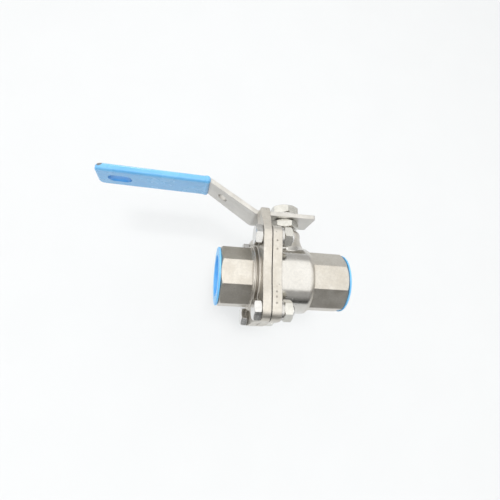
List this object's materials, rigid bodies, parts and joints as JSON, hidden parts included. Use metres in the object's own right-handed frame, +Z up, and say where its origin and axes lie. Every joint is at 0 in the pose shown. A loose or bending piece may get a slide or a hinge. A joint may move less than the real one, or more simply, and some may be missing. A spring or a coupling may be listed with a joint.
{
  "type": "ball valve",
  "caption": "Two-piece stainless steel ball valve with screwed octagonal ends, bolted square flanges, a blue-gripped quarter-turn lever and blue thread plugs.",
  "frame": {"origin": "centre of the ball, where the flow axis meets the stem's axis", "axes": "+X along the flow from the end cap to the body's port, +Z up the stem to the lever, +Y across, away from the stop lug; the lever is open and lies along -X"},
  "size_m": [0.1862, 0.066, 0.107],
  "materials": {
    "cast_steel": "satin",
    "polished_steel": "polished",
    "turned_steel": "machined",
    "nut_steel": "semi-gloss",
    "spring_steel": "satin",
    "lever_steel": "satin",
    "ptfe": "matte",
    "grip_vinyl": "semi-gloss",
    "plug_plastic": "satin"
  },
  "bodies": {
    "shell": {"body_casting": "cast_steel", "end_cap": "cast_steel", "body_gasket": "ptfe", "seat_ring_cap": "ptfe", "seat_ring_body": "ptfe", "thrust_washer": "ptfe", "packing_rings": "ptfe", "gland_follower": "turned_steel", "flange_bolts": "nut_steel", "flange_lock_washers": "spring_steel", "flange_nuts": "nut_steel"},
    "lever": {"ball": "polished_steel", "stem": "turned_steel", "disc_springs": "spring_steel", "gland_nut": "nut_steel", "lever_bar": "lever_steel", "grip_sleeve": "grip_vinyl", "lever_washer": "spring_steel", "lever_nut": "nut_steel"},
    "plug_cap": {"thread_plug_cap": "plug_plastic"},
    "plug_body": {"thread_plug_body": "plug_plastic"}
  },
  "joints": [
    {"name": "stem_turn", "type": "hinge", "parent": "shell", "child": "lever", "pos_m": [0, 0, 0], "axis": [0, 0, 1], "range_deg": [-90, 0]},
    {"name": "plug_cap_pull", "type": "slide", "parent": "shell", "child": "plug_cap", "axis": [-1, 0, 0], "range_m": [0, 0.07]},
    {"name": "plug_body_pull", "type": "slide", "parent": "shell", "child": "plug_body", "axis": [1, 0, 0], "range_m": [0, 0.07]}
  ]
}
